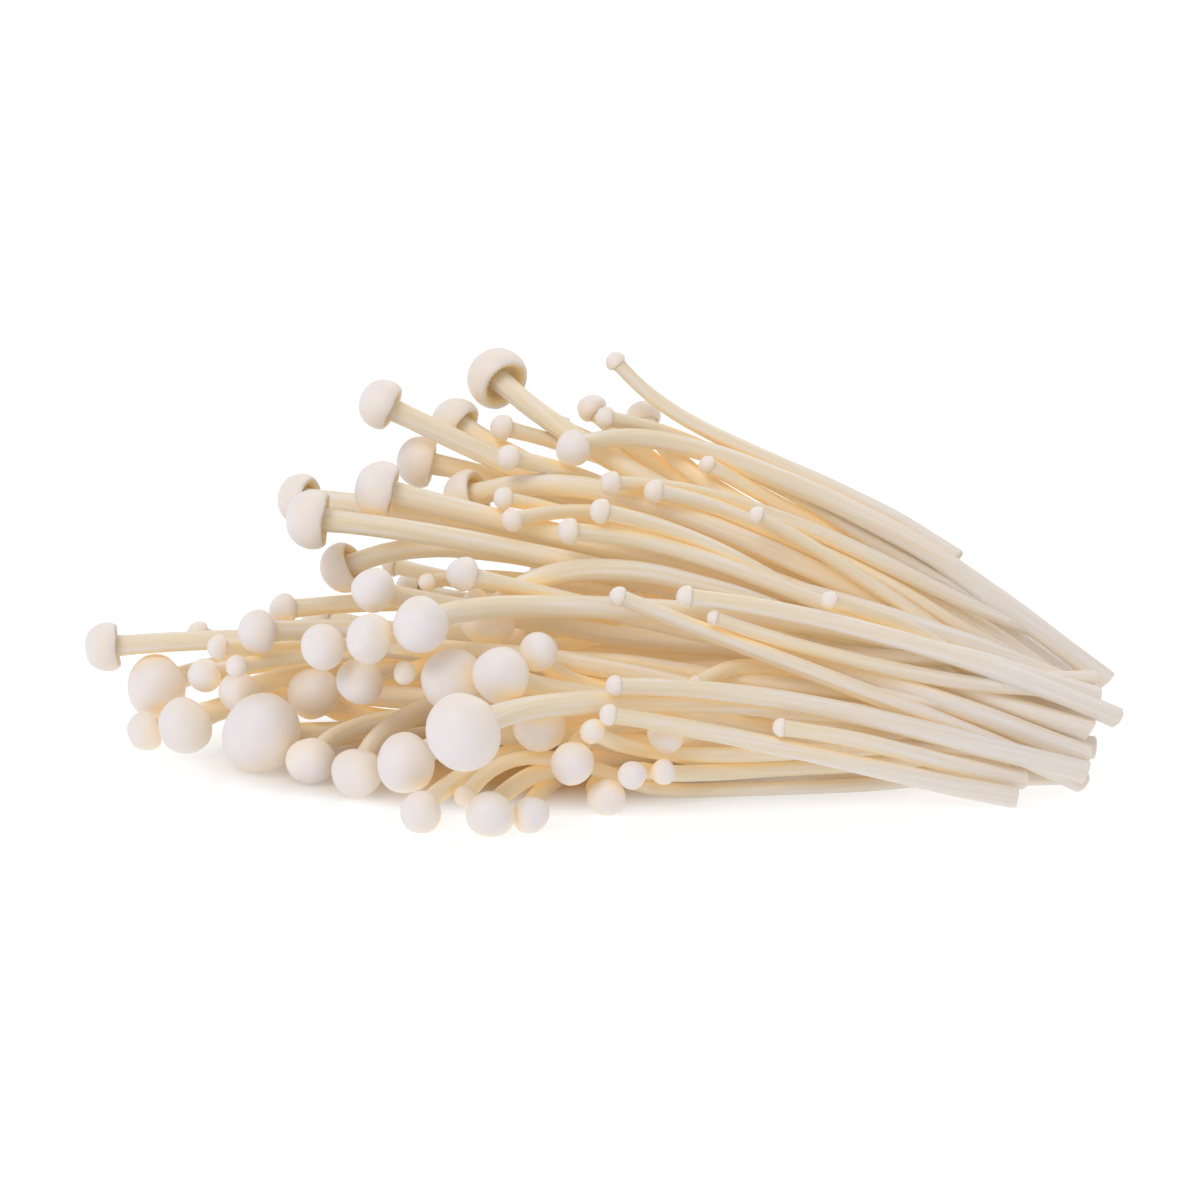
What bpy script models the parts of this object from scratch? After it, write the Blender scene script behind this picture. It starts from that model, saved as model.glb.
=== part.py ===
"""A bunch of enoki mushrooms, cut from its root mass and laid on its side.

Every mushroom is one piece: a slender stem with a button cap, grown as one tube whose width
follows the stem and then the cap. The stems run from a low pile of cut feet (+X) and fan out to
the caps (-X). The larger mushrooms are separate nodes. The thin young ones grow from the foot of
a larger neighbour and share its node.

Run it with: blender --background --python part.py
Layout sizes below are in millimetres. The meshes are made in metres, +Z up.
"""

from collections import namedtuple
import math

import bmesh
import bpy
import numpy as np

MM = 0.001

# ---- driving sizes, millimetres ------------------------------------------------------------
CUT_X = 76.0  # where the knife went through the feet, at the surface
CUT_SLANT = 0.28  # how much further out it went for each millimetre of height
CUT_RAGGED = 1.6  # how uneven the cut is
LONGEST_STEM = 112.0
FEET_PER_LAYER = (12, 9, 6, 3)  # feet in each layer of the cut end, lowest layer first
FRONT_FOOT_Y = 9.5
FOOT_PITCH = 3.6  # from one foot to the next along a layer
LAYER_PITCH = 3.1
PILE_SLOPE = 0.6  # how fast the pile gets higher, going from the cut towards the caps
FOOT_RADIUS = 1.6
YOUNG_FOOT_RADIUS = 1.15
NECK_BASE = 0.72  # a stem's radius just under its cap is this ...
NECK_PER_CAP = 0.21  # ... plus this share of the cap's radius
PRESS = 0.35  # how far the bunch's weight flattens whatever lies on the surface
CLEARANCE = 0.32  # the least gap between two pieces

# ---- how the mushrooms are drawn -----------------------------------------------------------
KNOTS = 8  # points along a mushroom, from its foot to the middle of its cap
WIDE_CAP = 7.0  # mushrooms with a cap this wide have 8 sides, the others 6
# Cap outlines: (height above the rim plane, radius), both as shares of the cap's radius.
FULL_CAP = ((-0.38, 0.62), (-0.10, 0.97), (0.30, 0.93), (0.70, 0.64), (0.93, 0.12))
YOUNG_CAP = ((-0.30, 0.82), (0.30, 0.95), (0.92, 0.25))
NECK_HEIGHT = -0.45  # where the stem ends inside the cap, on the same scale

SEED = 11

# A mushroom's place: the middle of its cap, the cap's width, and where the cap points.
# Yaw 0 points to -X, 90 to -Y and -90 to +Y. Pitch is upwards. A foot is given only where it
# isn't left to the pile.
Place = namedtuple("Place", "x y z width yaw pitch foot", defaults=(None,))

# The high fan: stems that lean on the heap with their caps in the air, turned a little away.
HIGH = [
    Place(-35, 45, 53.6, 8.4, -12, 24, (77, 20, 4)),
    Place(-18.1, 55, 54, 10.3, -55, 22),
    Place(-23.8, 51, 48.9, 8.6, -38, 26),
    Place(-27.2, 48, 45.4, 8.6, -5, 8),
    Place(-20.5, 43, 41.1, 8.8, -28, -22),
    Place(-48.5, 42, 39.1, 8.2, -30, -4),
    Place(-45.1, 30, 39.7, 9.4, -8, 8, (77, 16, 4)),
    Place(-34.7, 32.5, 41, 9.2, -6, 16, (77, 17, 7)),
    Place(-41, 37, 28.5, 8.4, -25, -35),
    Place(-5, 37, 46.6, 6.2, 50, -12),
    Place(-0.5, 53, 51.6, 5.0, -35, 42),
    Place(5.8, 51, 48.6, 6.0, -72, 20),
    Place(-21.6, 15, 30.2, 5.8, 20, 20, (77.5, 13, 4)),
    Place(-17.2, 16, 26.1, 9.8, 34, -50, (77.5, 12, 7)),
]

# The low fan: caps turned to -Y, lying on the surface and on each other.
LOW = [
    Place(-37.5, 5, 3.9, 8.2, 82, -24, (64, 33, 2)),
    Place(-27.6, -2.4, 5.8, 9.6, 74, -8),
    Place(-27, -12, 3.3, 6.6, 80, -6, (76, 40, 1)),
    Place(-16.2, -15, 3.5, 7.2, 90, 0, (76, 43, 1)),
    Place(-9.8, -12.5, 2.9, 5.8, 88, 4, (76, 46, 1)),
    Place(-21.1, -13, 17.8, 12.0, 82, 4, (77, 20, 7.4)),
    Place(-20.6, 3.6, 19.4, 9.8, 72, 34),
    Place(-14.6, -2, 18.2, 9.2, 64, 24),
    Place(-9.4, 3.5, 21.4, 6.4, 62, 40),
    Place(-9.2, 2, 10, 8.4, 92, 14),
    Place(-3.4, -4.5, 10, 6.9, 104, 6, (76, 24, 4.4)),
    Place(8.4, 2, 7.2, 5.8, 84, -4, (76, 31, 4)),
    Place(5.3, -6, 9.2, 4.6, 92, 20, (76, 35, 2)),
    Place(3, -3.5, 3, 6.0, 86, 0, (76, 48, 1)),
    Place(-35.2, 3, 25.6, 7.6, 66, 30),
    Place(-34.9, 9.5, 32.1, 7.0, 62, 28),
    Place(-27.2, 1, 28.8, 8.9, 80, 8),
    Place(-42, 8, 21.8, 7.2, 70, 12),
    Place(-38, 13, 19.6, 7.6, 78, 6),
]

# The side fan: the longest stems, reaching out to -X.
SIDE = [
    Place(-80, 38, 14.2, 7.8, 2, 2),
    Place(-71.8, 37, 7.6, 10.6, 52, -6),
    Place(-73.4, 33, 3.4, 6.4, 30, -12),
    Place(-66.3, 26, 5.1, 9.2, 72, -2),
    Place(-52.6, 18.8, 6.4, 13.0, 72, 6),
    Place(-46.8, 13.5, 3.9, 7.8, 86, -8),
    Place(-49.8, 30, 22, 5.3, 26, 6),
    Place(-54.6, 25, 20.6, 7.0, 44, 10),
    Place(-62.2, 30, 11.8, 5.8, 48, 4),
    Place(-58.4, 28, 10.3, 7.0, 62, 12),
    Place(-45.4, 29.5, 7, 8.8, 70, 10),
]

# The far side of the heap.
FAR = [
    Place(-38, 62, 6.6, 8.6, -64, -4),
    Place(-24, 67, 3.9, 8.2, -78, -8),
    Place(-52, 55, 4.1, 8.6, -40, -6),
    Place(-30, 60, 18, 9.2, -50, 10),
    Place(-12, 66, 9.5, 7.2, -82, 2),
    Place(-8, 61, 21, 8.0, -66, 14),
    Place(-21, 58, 31, 7.4, -48, 10),
    Place(-46, 52, 16, 7.0, -34, 8),
]

# Slim mushrooms along the near side of the heap, and one that slipped up in the bunch before it
# was cut and lies on top with its foot free.
SLIM = [
    Place(3.2, 8, 31.4, 3.4, 20, 24, (76.5, 10.5, 2)),
    Place(13.6, 8, 30.6, 3.6, 16, 14, (78.5, 14, 7)),
    Place(2.6, -2, 20.0, 3.4, 24, 6, (75, 9, 3)),
    Place(1.2, -5, 15.8, 3.4, 20, 12, (65, 1.5, 1.4)),
    Place(28, -1, 12.8, 3.0, 4, 2, (66, 5, 4.2)),
    Place(2.8, 46, 60.6, 3.5, -16, 60, (57.5, 33, 31)),
]

# The young mushrooms, thin and short, which grow from the feet of the others.
YOUNG = [
    Place(-27, 24, 29.5, 3.2, 60, 0),
    Place(-15, 46, 50.2, 4.8, 20, 10),
    Place(-6.5, 47.5, 50.2, 4.0, 0, 30),
    Place(0.9, 42, 50, 4.0, 20, 20),
    Place(-14.2, 34, 46.6, 4.6, 30, 12),
    Place(-15.2, 30, 40.6, 3.9, 30, 0),
    Place(-13.5, 26, 39.2, 4.0, 40, -10),
    Place(2, 28, 44, 4.2, 38, 16),
    Place(8.3, 28, 41.8, 4.0, 30, 20),
    Place(-4.3, 21, 39, 4.6, 24, 10),
    Place(0.4, 22, 41, 4.2, 18, 16),
    Place(17.2, 38, 44.8, 3.2, 16, 38),
    Place(25.2, 26, 39.8, 3.3, 10, 30),
    Place(18, 8, 28.6, 2.8, 20, 30),
    Place(15.4, 6.5, 17.4, 3.0, 40, 20),
    Place(35.7, 11, 28.8, 3.3, 20, 40),
    Place(-22.1, -3, 3.0, 3.8, 80, -10),
    Place(-1.4, -4, 12.8, 4.2, 60, 40),
    Place(9.2, -1, 7.4, 4.2, 110, 6),
    Place(10.4, 5, 8.8, 4.0, 100, 10),
    Place(-29.6, 6, 21, 4.0, 80, 10),
    Place(-60.6, 27, 18, 4.2, 40, 10),
    Place(-57, 21.5, 18.4, 4.0, 60, 10),
    Place(-65.6, 45, 15.4, 4.6, 10, 30),
    Place(-34, 54, 24.5, 4.2, -30, 16),
    Place(-16, 62, 15, 4.0, -70, 4),
    Place(4, 56, 26, 3.6, -50, 24),
    Place(12, 52, 34, 3.4, -40, 30),
    Place(2, 60, 8, 4.4, -80, 6),
]

# More young ones fill the heap between the rest. They are drawn by chance in this box.
HIDDEN_YOUNG = 16
HIDDEN_BOX = ((-26, 20), (14, 50), (4, 36))


def pointing(yaw, pitch):
    """The unit vector that a yaw and a pitch in degrees stand for."""
    a, p = math.radians(yaw), math.radians(pitch)
    return np.array([-math.cos(p) * math.cos(a), -math.cos(p) * math.sin(a), math.sin(p)])


def unit(v):
    return v / np.linalg.norm(v, axis=-1, keepdims=True)


# ---- the stems' lines ----------------------------------------------------------------------
def cut_slots(draw):
    """Places for feet in the cut end: staggered layers, each shorter than the one below."""
    slots = []
    for layer, count in enumerate(FEET_PER_LAYER):
        z = FOOT_RADIUS - PRESS + LAYER_PITCH * layer
        for i in range(count):
            x = CUT_X + CUT_SLANT * z - CUT_RAGGED * draw.random()
            slots.append((x, FRONT_FOOT_Y + FOOT_PITCH * (i + 0.5 * layer), z))
    return np.array(slots)


def foot_places(places, draw):
    """A foot for each full-grown mushroom.

    Those that reach the cut share out its slots: at first in any order, then by swapping
    wherever that brings two feet nearer to where their caps want them. The longest ones started
    further up, inside the pile.
    """
    slots = cut_slots(draw)
    feet, free = {}, list(range(len(slots)))
    for i, place in enumerate(places):
        if place.foot:
            feet[i] = np.array(place.foot, float)
            nearest = min(free, key=lambda s: np.linalg.norm(slots[s] - feet[i]))
            if np.linalg.norm(slots[nearest] - feet[i]) < FOOT_PITCH:
                free.remove(nearest)
                feet[i] = slots[nearest]
    rest = sorted((i for i in range(len(places)) if i not in feet), key=lambda i: -places[i].x)
    inner = rest[len(free) :]
    rest = rest[: len(free)]

    def wanted(place):
        steepness = place.z / (CUT_X - place.x)
        return np.array([CUT_X, 24 + 0.5 * (place.y - 22), 15 * steepness])

    def misplaced(i, slot):
        return ((slots[slot] - wanted(places[i]))[1:] ** 2).sum()

    given = dict(zip(rest, free))
    for _ in range(6000):
        i, j = (rest[k] for k in draw.integers(len(rest), size=2))
        now = misplaced(i, given[i]) + misplaced(j, given[j])
        if misplaced(i, given[j]) + misplaced(j, given[i]) < now:
            given[i], given[j] = given[j], given[i]
    feet.update((i, slots[slot]) for i, slot in given.items())
    for i in inner:
        x = min(places[i].x + LONGEST_STEM, CUT_X - 8) - 6 * draw.random()
        _, y, _ = wanted(places[i])
        top = 9 + PILE_SLOPE * (CUT_X - x)
        feet[i] = np.array([x, y, 1.5 + 0.75 * top * min(places[i].z / 52, 1)])
    return [feet[i] for i in range(len(places))], inner


def stem_line(foot, place, arch=1.2):
    """The mushroom's line as KNOTS points of a cubic curve that leaves the cap along its axis."""
    cap = np.array([place.x, place.y, place.z], float)
    axis = pointing(place.yaw, place.pitch)
    run = cap - foot
    length = np.linalg.norm(run)
    rising = unit(run * np.array([1, 1, arch]))
    along = max(0.0, float(axis @ (run / length)))
    lever = length * (0.25 + 0.08 * along)
    points = (foot, foot + rising * 0.33 * length, cap - axis * lever, cap)
    t = 1 - np.linspace(1, 0, KNOTS)[:, None] ** 1.25  # knots crowd a little towards the cap
    blend = ((1 - t) ** 3, 3 * t * (1 - t) ** 2, 3 * t * t * (1 - t), t**3)
    return sum(weight * point for weight, point in zip(blend, points))


def stem_radii(place, foot_radius):
    """Radii along the stem: from the foot to the neck under the cap."""
    neck = NECK_BASE + NECK_PER_CAP * place.width / 2
    t = np.linspace(0, 1, KNOTS)
    return foot_radius + (neck - foot_radius) * t**0.8


def hidden_young(draw):
    """Young mushrooms at seeded random places inside the heap."""
    places = []
    for _ in range(HIDDEN_YOUNG):
        x, y, z = (low + (high - low) * draw.random() for low, high in HIDDEN_BOX)
        yaw, pitch = draw.uniform(-20, 50), draw.uniform(-5, 25)
        places.append(Place(x, y, z * (1 - 0.008 * max(x, 0)), draw.uniform(2.8, 4.2), yaw, pitch))
    return places


def host_of(place, count, lines, pupils):
    """The full-grown mushroom whose foot a young one grows from: near it, and not yet crowded."""
    cap = np.array([place.x, place.y, place.z])
    wanted = np.array([62, 23 + 0.5 * (place.y - 22), 3 + 0.33 * place.z])
    costs = []
    for i in range(count):
        beside = np.linalg.norm(lines[i] - cap, axis=1).min()
        near = np.linalg.norm(lines[i][1] - wanted)
        costs.append(near + 0.3 * beside + (100 if pupils[i] > 1 else 5 * pupils[i]))
    return int(np.argmin(costs))


# ---- bending the stems clear of each other -------------------------------------------------
def nearest_points(a0, a1, b0, b1):
    """Where along two sets of segments they come nearest: shares s and t, each 0 to 1."""
    u, v, w = a1 - a0, b1 - b0, a0 - b0
    uu, vv = (u * u).sum(1) + 1e-9, (v * v).sum(1) + 1e-9
    uv, uw, vw = (u * v).sum(1), (u * w).sum(1), (v * w).sum(1)
    s = np.clip((uv * vw - vv * uw) / (uu * vv - uv * uv + 1e-9), 0, 1)
    t = np.clip((uv * s + vw) / vv, 0, 1)
    s = np.clip((uv * t - uw) / uu, 0, 1)
    return s[:, None], t[:, None]


def near_pairs(starts, ends, radii, apart, reach=2.5):
    """The pairs of capsules that come near enough to matter, of those in the apart matrix."""
    middle, half = (starts + ends) / 2, np.linalg.norm(ends - starts, axis=1) / 2 + radii
    squares = (middle**2).sum(1)
    far = squares[:, None] + squares[None] - 2 * middle @ middle.T
    return np.nonzero(apart & (far < (half[:, None] + half[None] + reach) ** 2))


def ease_apart(lines, radii, cap_radii, roots, loose, rounds=500, settle=700):
    """Bends the lines, a little each round, until every piece is clear of every other.

    lines is (mushroom, knot, xyz). A mushroom is a row of capsules along its stem and a ball at
    its cap. They start thin and swell to their full width in the first rounds. roots gives, for
    a young mushroom, its host and how far along the host's first length it grows. loose are
    those whose feet may drift inside the pile.
    """
    count = len(lines)
    wanted = lines.copy()
    bend = lines[:, 1:-1] - (lines[:, :-2] + lines[:, 2:]) / 2
    first = (np.arange(count)[:, None] * KNOTS + np.arange(KNOTS - 1)).ravel()
    caps = np.arange(count) * KNOTS + KNOTS - 1
    start, end = np.concatenate([first, caps]), np.concatenate([first + 1, caps])
    flat_radii = radii.ravel()
    full = np.concatenate([np.maximum(flat_radii[first], flat_radii[first + 1]), cap_radii])
    owner = start // KNOTS
    apart = np.triu(owner[:, None] != owner[None], 1)
    node = np.arange(count)
    node[list(roots)] = [host for host, _ in roots.values()]
    same_node = node[owner][:, None] == node[owner][None]
    at_foot = start % KNOTS == 0
    young_foot = at_foot & (node[owner] != owner)
    apart &= ~(same_node & (young_foot[:, None] | young_foot[None]))
    lowest = radii - PRESS
    lowest[:, -1] = cap_radii - PRESS
    young = np.array(list(roots), int)
    host = np.array([h for h, _ in roots.values()], int)
    along = np.array([share for _, share in roots.values()])[:, None]
    foot_pull = np.full((count, 1), 0.08)
    foot_pull[list(loose)] = 0.01
    for step in range(rounds + settle):
        points = lines.reshape(-1, 3)
        size = full * min(1.0, 0.3 + step / 180)
        if step % 5 == 0:
            i, j = near_pairs(points[start], points[end], size, apart)
        ends = (points[start[i]], points[end[i]], points[start[j]], points[end[j]])
        s, t = nearest_points(*ends)
        gap = ends[0] * (1 - s) + ends[1] * s - ends[2] * (1 - t) - ends[3] * t
        distance = np.linalg.norm(gap, axis=1, keepdims=True)
        short = (size[i] + size[j])[:, None] + CLEARANCE - distance
        hit = short[:, 0] > 0
        if step > rounds and short.max() < 0.04:
            break
        shares = (1 - s, s, -(1 - t), -t)
        push = short * gap / np.maximum(distance, 1e-6) / sum(share**2 for share in shares)
        moved, touched = np.zeros_like(points), np.zeros(len(points))
        for index, share in zip((start[i], end[i], start[j], end[j]), shares):
            np.add.at(moved, index[hit], (push * share)[hit])
            np.add.at(touched, index[hit], np.abs(share[hit, 0]))
        moved = (moved / np.maximum(1.6 * touched, 1.0)[:, None]).reshape(lines.shape)
        lines += moved * 0.9
        lines[:, 1:] += moved[:, :-1] * 0.35
        lines[:, :-1] += moved[:, 1:] * 0.35
        stiff = 0.30 if step < rounds else 0.04 if step < rounds + settle // 2 else 0.0
        straighter = (lines[:, :-2] + lines[:, 2:]) / 2 + bend
        lines[:, 1:-1] += (straighter - lines[:, 1:-1]) * stiff
        if step < rounds:
            lines[:, -1] += (wanted[:, -1] - lines[:, -1]) * 0.20
            lines[:, -2] += (wanted[:, -2] - lines[:, -2]) * 0.06
            lines[:, 0] += (wanted[:, 0] - lines[:, 0]) * foot_pull
        lines[young, 0] = lines[host, 0] * (1 - along) + lines[host, 1] * along
        lines[:, :, 2] = np.maximum(lines[:, :, 2], lowest)
    return lines


# ---- solids --------------------------------------------------------------------------------
def mushroom_outline(line, radii, cap_radius, cap_profile):
    """Points and radii of the whole tube: the stem's knots, then the cap's rings along its axis."""
    axis = unit(line[-1] - line[-2])
    rings = [(NECK_HEIGHT * cap_radius, radii[-1])]
    rings += [(height * cap_radius, share * cap_radius) for height, share in cap_profile]
    points = [*line[:-1], *(line[-1] + axis * height for height, _ in rings)]
    return points, [*radii[:-1], *(radius for _, radius in rings)]


def tube(name, points, radii, sides):
    """A closed mesh object: a round tube along the points, with a radius at each."""
    curve = bpy.data.curves.new(name, "CURVE")
    curve.dimensions = "3D"
    curve.bevel_depth = MM
    curve.bevel_resolution = sides // 2 - 2
    curve.use_fill_caps = True
    spline = curve.splines.new("POLY")
    spline.points.add(len(points) - 1)
    for knot, place, radius in zip(spline.points, points, radii):
        knot.co = (*(place * MM), 1.0)
        knot.radius = radius
    guide = bpy.data.objects.new(name + "_line", curve)
    bpy.context.scene.collection.objects.link(guide)
    graph = bpy.context.evaluated_depsgraph_get()
    mesh = bpy.data.meshes.new_from_object(guide.evaluated_get(graph))
    bpy.data.objects.remove(guide)
    bpy.data.curves.remove(curve)
    mesh.name = name
    shell = bmesh.new()
    shell.from_mesh(mesh)
    bmesh.ops.remove_doubles(shell, verts=shell.verts, dist=1e-6)
    bmesh.ops.recalc_face_normals(shell, faces=shell.faces)
    shell.to_mesh(mesh)
    shell.free()
    return bpy.data.objects.new(name, mesh)


def grow_together(host, young):
    """Joins the young mushrooms to their host as one solid."""
    extra = bpy.data.collections.new("young")
    bpy.context.scene.collection.children.link(extra)
    for piece in young:
        extra.objects.link(piece)
    union = host.modifiers.new("young", "BOOLEAN")
    union.operation = "UNION"
    union.operand_type = "COLLECTION"
    union.collection = extra
    union.solver = "MANIFOLD"
    graph = bpy.context.evaluated_depsgraph_get()
    joined = bpy.data.meshes.new_from_object(host.evaluated_get(graph))
    host.modifiers.clear()
    host.data = joined
    for piece in young:
        bpy.data.objects.remove(piece)
    bpy.data.collections.remove(extra)


def flatten_below(mesh):
    """Trims what reaches under the surface, which leaves a small flat spot to rest on."""
    shell = bmesh.new()
    shell.from_mesh(mesh)
    everything = shell.verts[:] + shell.edges[:] + shell.faces[:]
    cut = bmesh.ops.bisect_plane(
        shell, geom=everything, plane_co=(0, 0, 0), plane_no=(0, 0, 1), clear_inner=True
    )
    rim = [e for e in cut["geom_cut"] if isinstance(e, bmesh.types.BMEdge)]
    if rim:
        bmesh.ops.holes_fill(shell, edges=rim)
        bmesh.ops.recalc_face_normals(shell, faces=shell.faces)
    shell.to_mesh(mesh)
    shell.free()


def flesh(name, warmth):
    """A mushroom's pale, faintly glossy skin: ivory, or a warmer cream at a warmth of 1."""
    material = bpy.data.materials.new(name + "_flesh")
    material.use_nodes = True
    shader = material.node_tree.nodes["Principled BSDF"]
    ivory, cream = np.array([0.90, 0.84, 0.72]), np.array([0.84, 0.72, 0.50])
    shader.inputs["Base Color"].default_value = (*(ivory + (cream - ivory) * warmth), 1)
    shader.inputs["Roughness"].default_value = 0.45
    shader.inputs["Metallic"].default_value = 0.0
    return material


def move_to_origin(objects):
    """Puts the bunch's middle over the origin, as seen from above. The surface is already z = 0."""
    corners = np.array([v.co for o in objects for v in o.data.vertices])
    middle = (corners.min(0) + corners.max(0)) / 2
    for piece in objects:
        for vertex in piece.data.vertices:
            vertex.co.x -= middle[0]
            vertex.co.y -= middle[1]


def main():
    for old in list(bpy.data.objects):
        bpy.data.objects.remove(old)
    bunch = bpy.data.collections.new("enoki_bunch")
    bpy.context.scene.collection.children.link(bunch)
    draw = np.random.default_rng(SEED)

    groups = {"high": HIGH, "low": LOW, "side": SIDE, "far": FAR, "slim": SLIM}
    grown = [place for group in groups.values() for place in group]
    names = [f"{g}_{i + 1:02d}" for g, group in groups.items() for i in range(len(group))]
    feet, loose = foot_places(grown, draw)
    lines = [stem_line(foot, place) for foot, place in zip(feet, grown)]
    places = grown + YOUNG + hidden_young(draw)
    roots, pupils = {}, [0] * len(grown)
    for k in range(len(grown), len(places)):
        host = host_of(places[k], len(grown), lines, pupils)
        share = 1.0 - 0.4 * pupils[host]
        pupils[host] += 1
        roots[k] = (host, share)
        root = lines[host][0] * (1 - share) + lines[host][1] * share
        lines.append(stem_line(root, places[k], arch=1.1))

    foot_radii = [YOUNG_FOOT_RADIUS if k in roots else FOOT_RADIUS for k in range(len(places))]
    radii = np.array([stem_radii(place, foot) for place, foot in zip(places, foot_radii)])
    cap_radii = np.array([place.width / 2 for place in places])
    lines = ease_apart(np.array(lines), radii, cap_radii, roots, loose)

    solids = []
    for k, place in enumerate(places):
        profile = YOUNG_CAP if k in roots else FULL_CAP
        points, widths = mushroom_outline(lines[k], radii[k], cap_radii[k], profile)
        solids.append(tube(f"piece_{k}", points, widths, 8 if place.width >= WIDE_CAP else 6))
    for k, name in enumerate(names):
        piece = solids[k]
        bunch.objects.link(piece)
        grafts = [solids[y] for y, (host, _) in roots.items() if host == k]
        if grafts:
            grow_together(piece, grafts)
        flatten_below(piece.data)
        piece.name = ("tuft_" if grafts else "mushroom_") + name
        piece.data.name = piece.name
        piece.data.materials.clear()
        piece.data.materials.append(flesh(name, draw.random()))
        piece.data.shade_smooth()
    move_to_origin(bunch.objects)


main()
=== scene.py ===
import math
from collections import namedtuple

import bmesh
import bpy
import numpy as np
from bpy.props import FloatProperty, FloatVectorProperty, IntProperty, PointerProperty
from bpy.types import Operator, Panel, PropertyGroup
from mathutils import Matrix, Vector, noise
from mathutils.bvhtree import BVHTree


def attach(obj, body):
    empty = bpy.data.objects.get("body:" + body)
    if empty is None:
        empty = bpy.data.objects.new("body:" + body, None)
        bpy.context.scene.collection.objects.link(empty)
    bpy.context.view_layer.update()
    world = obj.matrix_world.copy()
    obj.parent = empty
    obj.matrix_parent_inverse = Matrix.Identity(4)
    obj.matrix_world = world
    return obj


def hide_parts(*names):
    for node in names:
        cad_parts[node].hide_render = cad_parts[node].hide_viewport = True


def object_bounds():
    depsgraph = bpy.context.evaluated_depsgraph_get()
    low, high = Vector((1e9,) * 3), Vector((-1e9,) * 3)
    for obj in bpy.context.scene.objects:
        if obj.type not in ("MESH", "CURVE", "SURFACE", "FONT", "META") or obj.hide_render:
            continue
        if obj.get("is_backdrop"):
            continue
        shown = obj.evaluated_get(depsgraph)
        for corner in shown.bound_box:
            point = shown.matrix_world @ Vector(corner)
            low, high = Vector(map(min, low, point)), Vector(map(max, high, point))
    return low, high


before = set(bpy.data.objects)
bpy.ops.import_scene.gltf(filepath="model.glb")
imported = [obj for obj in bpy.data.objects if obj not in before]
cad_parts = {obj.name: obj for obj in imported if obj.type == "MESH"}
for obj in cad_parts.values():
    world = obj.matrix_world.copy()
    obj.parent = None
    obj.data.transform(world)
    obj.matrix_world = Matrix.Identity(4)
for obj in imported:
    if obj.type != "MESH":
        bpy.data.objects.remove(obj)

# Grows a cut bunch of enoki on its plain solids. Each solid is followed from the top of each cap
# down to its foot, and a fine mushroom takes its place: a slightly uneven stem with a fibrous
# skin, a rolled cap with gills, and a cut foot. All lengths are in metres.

bl_info = {
    "name": "Enoki Bunch",
    "version": (1, 0, 0),
    "blender": (4, 5, 0),
    "location": "3D View > Sidebar > Enoki",
    "description": "Grows a cut bunch of enoki mushrooms and the soft white stage it lies on",
    "category": "Add Mesh",
}

MM = 0.001
SEED = 23
STEM, CAP, GILLS, PITH = range(4)  # a piece's slots for its four finishes

# A cap's outline as (distance from the axis, height), both in shares of its widest radius, from
# its crown over the rolled rim to where the stem begins.
OPEN_CAP = (
    (0, 0.91), (0.14, 0.903), (0.28, 0.878), (0.42, 0.833), (0.56, 0.76), (0.69, 0.66),
    (0.80, 0.53), (0.885, 0.37), (0.943, 0.19), (0.968, 0.0), (0.962, -0.12), (0.935, -0.24),
    (0.888, -0.345), (0.82, -0.42), (0.745, -0.45), (0.675, -0.43), (0.625, -0.37),
    (0.595, -0.28), (0.57, -0.18), (0.52, -0.09), (0.44, -0.04), (0.33, -0.03),
)
BUTTON_CAP = (
    (0, 0.92), (0.19, 0.905), (0.38, 0.85), (0.56, 0.755), (0.72, 0.61), (0.84, 0.43),
    (0.92, 0.235), (0.955, 0.04), (0.945, -0.12), (0.895, -0.255), (0.81, -0.345), (0.71, -0.38),
    (0.62, -0.365), (0.57, -0.30), (0.53, -0.21), (0.45, -0.15),
)
CLOSED_CAP = (
    (0, 0.93), (0.13, 0.922), (0.27, 0.893), (0.41, 0.842), (0.55, 0.765), (0.68, 0.655),
    (0.79, 0.515), (0.88, 0.345), (0.94, 0.165), (0.968, 0.0), (0.965, -0.12), (0.94, -0.235),
    (0.89, -0.34), (0.82, -0.43), (0.73, -0.495), (0.63, -0.53), (0.54, -0.53),
    (0.48, -0.49), (0.44, -0.42), (0.42, -0.34),
)
OPENED = (  # caps that have opened and show their gills
    "high_01", "high_02", "high_03", "high_04", "high_05", "high_06", "high_07", "high_08",
    "high_09", "high_14", "side_01", "far_04", "far_06",
)
UNDERSIDE = 0.3  # below this height and inside the rim, a cap's skin is its underside
RIM_OPENED, RIM_CLOSED = 0.75, 0.52  # how far out the underside reaches
SMALL_CAP = 2.4 * MM  # caps under this radius are buttons
COARSE_CAP = 2.6 * MM  # caps under this radius are spun in half as many steps
PRESSED = 0.11 * MM  # stems swell by this, to touch where the solids keep a gap

# One mushroom of a solid: its stem's line from the foot to the cap's middle, the radius at each
# point of the line, the middle, the way up and the radius of its cap, and whether it is young.
Mushroom = namedtuple("Mushroom", "line radii centre axis cap young")


# ---- following the solids --------------------------------------------------------------------

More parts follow.
